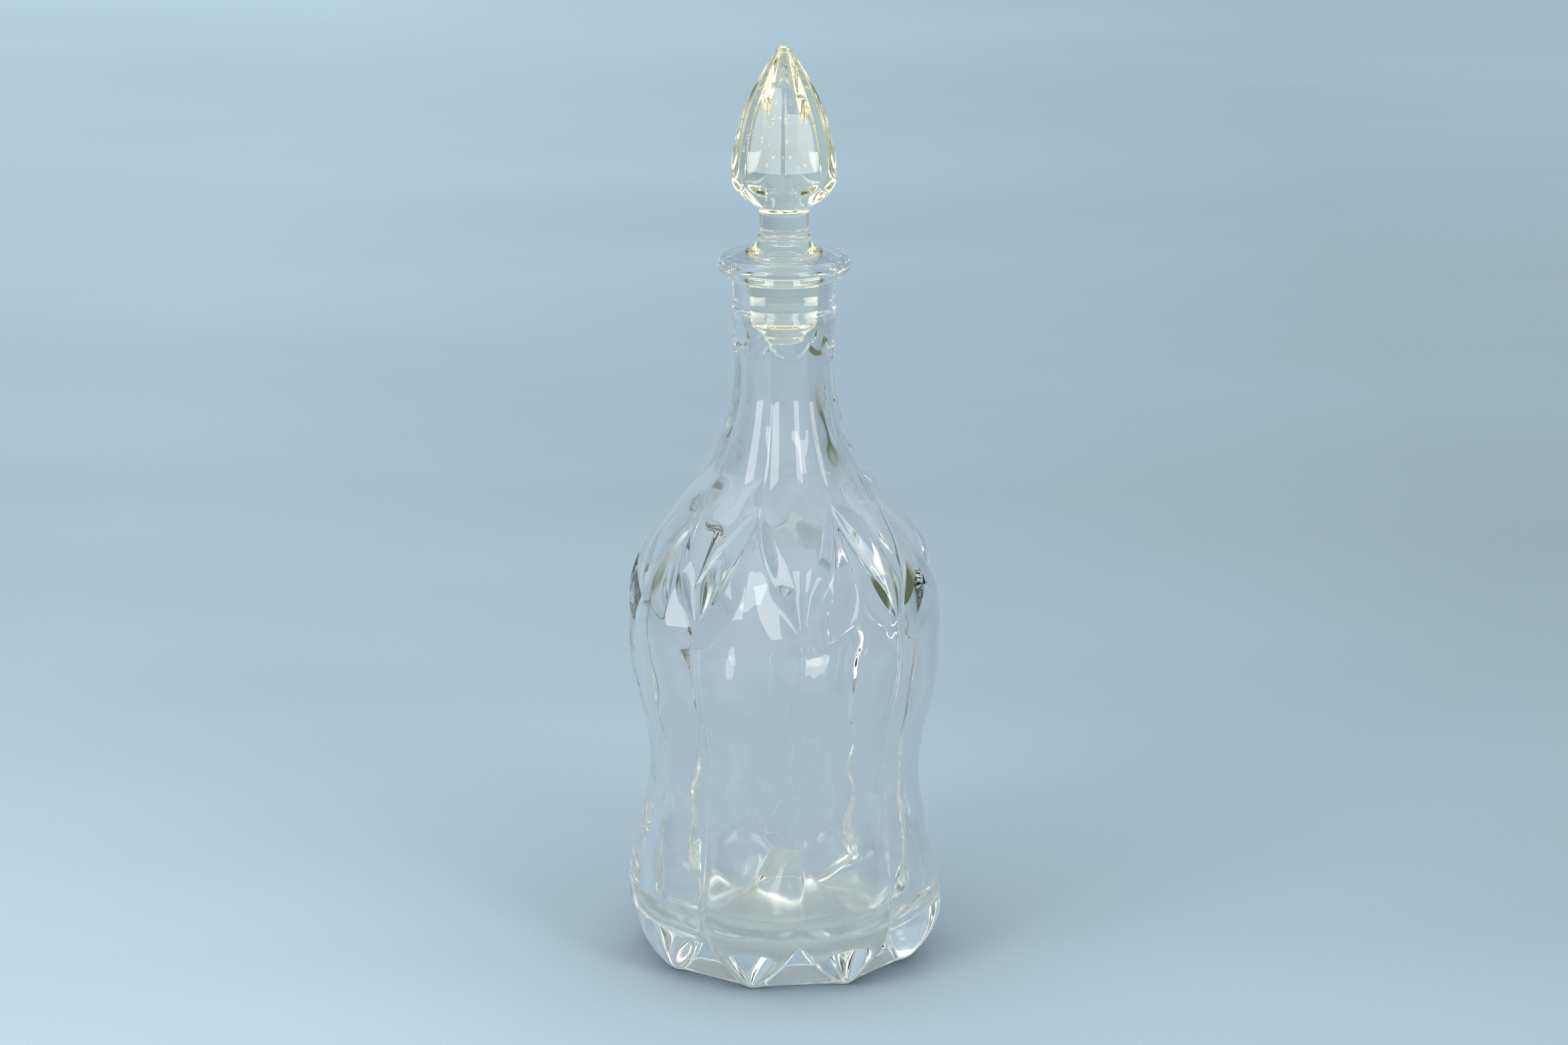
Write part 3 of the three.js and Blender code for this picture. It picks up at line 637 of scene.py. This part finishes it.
def swelling(start, end, swell, count):
    """Radii and heights after a start and up to an end, with the radius swelling between them."""
    shares = np.linspace(0, 1, count)[1:]
    radii = [lerp(start[0], end[0], s) + swell * math.sin(math.pi * s) for s in shares]
    return list(zip(radii, lerp(start[1], end[1], shares)))


def stopper_rings(around):
    skirt_top = (STEM_RADIUS, SKIRT_TOP_HEIGHT)
    outline = plug_outline()
    outline += swelling((COLLAR_RADIUS - BEVEL, COLLAR_TOP_HEIGHT), skirt_top, -SKIRT_HOLLOW, SKIRT_RINGS)
    outline += swelling(skirt_top, (STEM_RADIUS, BEAD_TOP_HEIGHT), BEAD_RADIUS - STEM_RADIUS, BEAD_RINGS)
    rings = []
    for (r0, z0), (r1, z1) in zip(outline[:-1], outline[1:]):
        steps = max(int(math.hypot(r1 - r0, z1 - z0)), 1)
        for s in np.arange(steps) / steps:
            rings.append(ring_points(around, lerp(r0, r1, s), lerp(z0, z1, s)))
    heights = spaced(BEAD_TOP_HEIGHT, TIP_START_HEIGHT, STOPPER_ROW_STEP)
    grid = blur(finial_radius(around[None, :], heights[:, None]), *FINIAL_BLUR)
    rings += [ring_points(around, row, height) for row, height in zip(grid, heights)]
    for turn in np.linspace(0, math.pi / 2, TIP_RINGS)[1:-1]:
        height = TIP_START_HEIGHT + TIP_HEIGHT * math.sin(turn)
        rings.append(ring_points(around, grid[-1] * math.cos(turn), height))
    return rings


def make_stopper():
    around = directions(STOPPER_COLUMNS)
    rings = []
    for ring in stopper_rings(around):
        x, y = turned(ring[:, 0], ring[:, 1], STOPPER_TURN)
        rings.append(np.stack([x, y, ring[:, 2]], 1))
    stopper = loft("stopper_glass_piece", rings, PIP_END_HEIGHT, TOTAL_HEIGHT)
    rng = np.random.default_rng(SEED_DRAW)
    places = []
    for _ in range(STOPPER_SEEDS):
        height = FINIAL_WIDEST_HEIGHT + FINIAL_POINT_REACH * rng.uniform(*SEED_HEIGHTS)
        reach = float(finial_radius(np.float64(0), np.float64(height))) * rng.uniform(*SEED_REACHES)
        angle = rng.uniform(0, TURN)
        places.append((reach * math.cos(angle), reach * math.sin(angle), height))
    add_seeds(stopper, places, rng)
    return stopper


def add_seeds(piece, places, rng):
    """Closed bubbles inside the glass; their faces look out of the glass, so toward their own middle."""
    shape = bmesh.new()
    shape.from_mesh(piece.data)
    for place in places:
        radius, stretch = rng.uniform(*SEED_RADII), rng.uniform(*SEED_STRETCH)
        made = bmesh.ops.create_icosphere(shape, subdivisions=2, radius=radius * MM)["verts"]
        bmesh.ops.scale(shape, vec=(1, 1, stretch), verts=made)
        bmesh.ops.translate(shape, vec=Vector(place) * MM, verts=made)
        faces = list({face for vert in made for face in vert.link_faces})
        bmesh.ops.reverse_faces(shape, faces=faces)
        for face in faces:
            face.smooth = True
    shape.to_mesh(piece.data)
    shape.free()


def node_math(nodes, links, operation, a, b):
    """A Math node; each input is a number or another node's output."""
    node = nodes.new("ShaderNodeMath")
    node.operation = operation
    for socket, value in zip(node.inputs, (a, b)):
        if isinstance(value, (int, float)):
            socket.default_value = value
        else:
            links.new(value, socket)
    return node.outputs[0]


def node_range(nodes, links, value, low, high, start=0.0, end=1.0, kind="SMOOTHSTEP"):
    """A run from start to end while the value goes from low to high, soft at both unless it is LINEAR."""
    node = nodes.new("ShaderNodeMapRange")
    node.interpolation_type = kind
    links.new(value, node.inputs["Value"])
    for name, number in (("From Min", low), ("From Max", high), ("To Min", start), ("To Max", end)):
        node.inputs[name].default_value = number
    return node.outputs["Result"]


def noise_value(nodes, links, vector, scale, detail=2.0):
    node = nodes.new("ShaderNodeTexNoise")
    node.inputs["Scale"].default_value = scale
    node.inputs["Detail"].default_value = detail
    links.new(vector, node.inputs["Vector"])
    return node.outputs["Fac"]


def glass_material(name, tint, absorption, density):
    """Clear glass with a faint waviness, and the roughness that its mesh keeps on each point."""
    material = bpy.data.materials.new(name)
    material.use_nodes = True
    nodes, links = material.node_tree.nodes, material.node_tree.links
    shader = nodes["Principled BSDF"]
    shader.inputs["Base Color"].default_value = (*tint, 1)
    shader.inputs["Transmission Weight"].default_value = 1
    shader.inputs["IOR"].default_value = GLASS_IOR
    shader.inputs["Roughness"].default_value = 0.0
    volume = nodes.new("ShaderNodeVolumeAbsorption")
    volume.inputs["Color"].default_value = (*absorption, 1)
    volume.inputs["Density"].default_value = density
    links.new(volume.outputs[0], nodes["Material Output"].inputs["Volume"])
    coords = nodes.new("ShaderNodeTexCoord").outputs["Object"]
    bump = nodes.new("ShaderNodeBump")
    bump.inputs["Strength"].default_value = WAVE_STRENGTH
    bump.inputs["Distance"].default_value = WAVE_DEPTH
    links.new(noise_value(nodes, links, coords, WAVE_SCALE), bump.inputs["Height"])
    links.new(bump.outputs["Normal"], shader.inputs["Normal"])
    rough = nodes.new("ShaderNodeAttribute")
    rough.attribute_name = "surface_roughness"
    links.new(rough.outputs["Fac"], shader.inputs["Roughness"])
    return material


def cloth_grain_and_painted_light(nodes, links, coords, painted_ramps):
    """Share of its colour that the sheet has at a place: painted shade along the creases, a fine grain of
    its own, and painted light in slow ramps and towards one side.
    """
    turn = nodes.new("ShaderNodeMapping")
    turn.inputs["Rotation"].default_value = (0, 0, -CAMERA_TURN)
    links.new(coords, turn.inputs["Vector"])
    wide = nodes.new("ShaderNodeMapping")
    wide.inputs["Scale"].default_value = CREASE_STRETCH
    links.new(turn.outputs["Vector"], wide.inputs["Vector"])
    folds = noise_value(nodes, links, wide.outputs["Vector"], CREASE_SCALE, CREASE_DETAIL)
    # Painted shade of the sheet's folds
    creases = node_range(nodes, links, folds, *CREASE_PAINTED_SHADE)
    grain = node_range(nodes, links, noise_value(nodes, links, coords, GRAIN_SCALE), *GRAIN_SHARES)
    grain_and_painted_light = node_math(nodes, links, "MULTIPLY", creases, grain)
    parts = nodes.new("ShaderNodeSeparateXYZ")
    links.new(turn.outputs["Vector"], parts.inputs[0])
    # Painted light: slow ramps by height or depth
    for axis, *ramp in painted_ramps:
        painted_ramp = node_range(nodes, links, parts.outputs[axis], *ramp)
        grain_and_painted_light = node_math(nodes, links, "MULTIPLY", grain_and_painted_light, painted_ramp)
    # Painted shade: darker towards the right
    side = node_range(nodes, links, parts.outputs["X"], *SIDE_PAINTED_SHADE, "LINEAR")
    return node_math(nodes, links, "MULTIPLY", grain_and_painted_light, side)


def gathered_glow(nodes, links, coords, paint):
    """The sheet as glass shows it: its own colour, and under the foot a painted glow standing in for the
    light that the glass gathers.
    """
    flat = nodes.new("ShaderNodeVectorMath")
    flat.operation = "LENGTH"
    links.new(coords, flat.inputs[0])
    gathered = nodes.new("ShaderNodeMix")
    gathered.data_type = "RGBA"
    # Painted light: a paler pool under the foot
    under_foot = node_range(nodes, links, flat.outputs["Value"], *GATHERED_REACH)
    links.new(under_foot, gathered.inputs["Factor"])
    links.new(paint, gathered.inputs["A"])
    gathered.inputs["B"].default_value = (*GATHERED_LIGHT_PAINT, 1)
    glow = nodes.new("ShaderNodeEmission")
    links.new(gathered.outputs["Result"], glow.inputs["Color"])
    return glow.outputs[0]


def cloth_material(name, painted_ramps):
    """Matt sheet whose colour holds painted light and shade: paler to the left, streaked along its creases,
    and ramped by height or depth.
    """
    material = bpy.data.materials.new(name)
    material.use_nodes = True
    nodes, links = material.node_tree.nodes, material.node_tree.links
    shader = nodes["Principled BSDF"]
    shader.inputs["Roughness"].default_value = CLOTH_ROUGHNESS
    shader.inputs["Specular IOR Level"].default_value = CLOTH_SPECULAR
    coords = nodes.new("ShaderNodeTexCoord").outputs["Object"]
    paint = nodes.new("ShaderNodeVectorMath")
    paint.operation = "SCALE"
    paint.inputs[0].default_value = BACKDROP_COLOUR
    links.new(cloth_grain_and_painted_light(nodes, links, coords, painted_ramps), paint.inputs["Scale"])
    links.new(paint.outputs[0], shader.inputs["Base Color"])
    glow = gathered_glow(nodes, links, coords, paint.outputs[0])
    through = nodes.new("ShaderNodeLightPath").outputs["Is Transmission Ray"]
    mix = nodes.new("ShaderNodeMixShader")
    links.new(node_math(nodes, links, "MULTIPLY", through, THROUGH_GLASS_SHARE), mix.inputs["Fac"])
    links.new(shader.outputs[0], mix.inputs[1])
    links.new(glow, mix.inputs[2])
    links.new(mix.outputs[0], nodes["Material Output"].inputs["Surface"])
    return material


def make_camera():
    data = bpy.data.cameras.new("camera")
    data.sensor_width = SENSOR
    data.lens = FOCAL_PIXELS / PHOTO_WIDTH * SENSOR
    data.clip_start = NEAREST_SEEN
    data.clip_end = FARTHEST_SEEN
    camera = add_object("camera", data)
    x, y = turned(0, -CAMERA_DISTANCE)
    camera.location = (x, y, CAMERA_HEIGHT)
    camera.rotation_euler = (math.pi / 2 - CAMERA_PITCH, 0, CAMERA_TURN)
    bpy.context.scene.camera = camera


def make_sheet(name, outline, painted_ramps):
    """A strip of the backdrop through an outline of places behind the object and heights."""
    points, faces = [], []
    for y, z in outline:
        for x in (-FLOOR_HALF_WIDTH, FLOOR_HALF_WIDTH):
            points.append((*turned(x, y), z + FLOOR_LEVEL))
    for i in range(len(outline) - 1):
        faces.append((2 * i, 2 * i + 1, 2 * i + 3, 2 * i + 2))
    piece = add_object(name, smooth_mesh(name, points, faces))
    piece.data.materials.append(cloth_material(name, painted_ramps))
    return piece


def make_backdrop():
    """A wide flat floor, and a sheet curving up behind the object that only the glass shows."""
    make_sheet("floor", [(FLOOR_FRONT, 0.0), (FLOOR_BACK, 0.0)], FLOOR_PAINTED_LIGHT)
    outline = [(SWEEP_START + SWEEP_RADIUS * math.sin(turn), SWEEP_RADIUS * (1 - math.cos(turn)))
               for turn in np.linspace(0, math.pi / 2, SWEEP_STEPS)[1:]]
    wall = make_sheet("backdrop", outline + [(SWEEP_START + SWEEP_RADIUS, SWEEP_HEIGHT)], WALL_PAINTED_LIGHT)
    wall.visible_camera = False
    wall.visible_diffuse = False
    wall.visible_shadow = False


def make_softbox(name, azimuth, width, power):
    """An upright area light that faces the object, azimuth degrees round from the camera's side."""
    angle = math.radians(azimuth)
    x, y = turned(LAMP_DISTANCE * math.sin(angle), -LAMP_DISTANCE * math.cos(angle))
    data = bpy.data.lights.new(name, "AREA")
    data.shape = "RECTANGLE"
    data.size, data.size_y = width, LAMP_HIGH - LAMP_LOW
    data.energy = power
    data.color = LAMP_COLOUR
    light = add_object(name, data)
    light.location = (x, y, (LAMP_LOW + LAMP_HIGH) / 2)
    light.rotation_euler = Vector((-x, -y, 0)).to_track_quat("-Z", "Y").to_euler()
    light.visible_camera = False


def make_world():
    """The room: pale walls and ceiling, a warm table level in front and dim corners; plain to the camera."""
    world = bpy.data.worlds.new("world")
    bpy.context.scene.world = world
    world.use_nodes = True
    nodes, links = world.node_tree.nodes, world.node_tree.links
    background = nodes["Background"]
    direction = nodes.new("ShaderNodeTexCoord").outputs["Generated"]
    parts = nodes.new("ShaderNodeSeparateXYZ")
    links.new(direction, parts.inputs[0])
    rise = parts.outputs["Z"]
    facing = nodes.new("ShaderNodeVectorMath")
    facing.operation = "DOT_PRODUCT"
    facing.inputs[1].default_value = (*turned(0, 1), 0)
    links.new(direction, facing.inputs[0])
    behind = facing.outputs["Value"]

    def layer(below, colour, factor):
        mix = nodes.new("ShaderNodeMix")
        mix.data_type = "RGBA"
        links.new(factor, mix.inputs["Factor"])
        links.new(below, mix.inputs["A"])
        mix.inputs["B"].default_value = (*colour, 1)
        return mix.outputs["Result"]

    def band(value, low, high, soft):
        """Share inside a range, with soft edges."""
        into = node_range(nodes, links, value, low - soft, low + soft)
        out = node_range(nodes, links, value, high - soft, high + soft, 1.0, 0.0)
        return node_math(nodes, links, "MULTIPLY", into, out)

    def patch(bands):
        return node_math(nodes, links, "MULTIPLY", band(rise, *bands[0]), band(behind, *bands[1]))

    base = nodes.new("ShaderNodeRGB")
    base.outputs[0].default_value = (*ROOM_COLOUR, 1)
    colour = layer(base.outputs[0], CEILING_COLOUR, node_range(nodes, links, rise, *CEILING_RISE))
    colour = layer(colour, FRONT_COLOUR, patch(FRONT_BANDS))
    colour = layer(colour, CORNER_COLOUR, patch(CORNER_BANDS))
    colour = layer(colour, FLOOR_COLOUR, node_range(nodes, links, rise, *FLOOR_RISE, 1.0, 0.0))
    colour = layer(colour, WARM_COLOUR, patch(WARM_BANDS))
    seen = nodes.new("ShaderNodeLightPath").outputs["Is Camera Ray"]
    links.new(layer(colour, PALE_COLOUR, seen), background.inputs["Color"])


bottle = make_bottle()
bottle.data.materials.append(glass_material("clear_glass", *BOTTLE_GLASS))
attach(bottle, "bottle")
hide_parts("bottle")

stopper = make_stopper()
stopper.data.materials.append(glass_material("stopper_glass", *STOPPER_GLASS))
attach(stopper, "stopper")
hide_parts("stopper")

make_backdrop()
for softbox in SOFTBOXES:
    make_softbox(*softbox)
make_world()
make_camera()
scene = bpy.context.scene
scene.cycles.max_bounces = GLASS_BOUNCES
scene.cycles.transmission_bounces = GLASS_BOUNCES
scene.cycles.glossy_bounces = REFLECTION_BOUNCES
scene.cycles.caustics_reflective = False
scene.cycles.caustics_refractive = False
scene.view_settings.view_transform = "Standard"
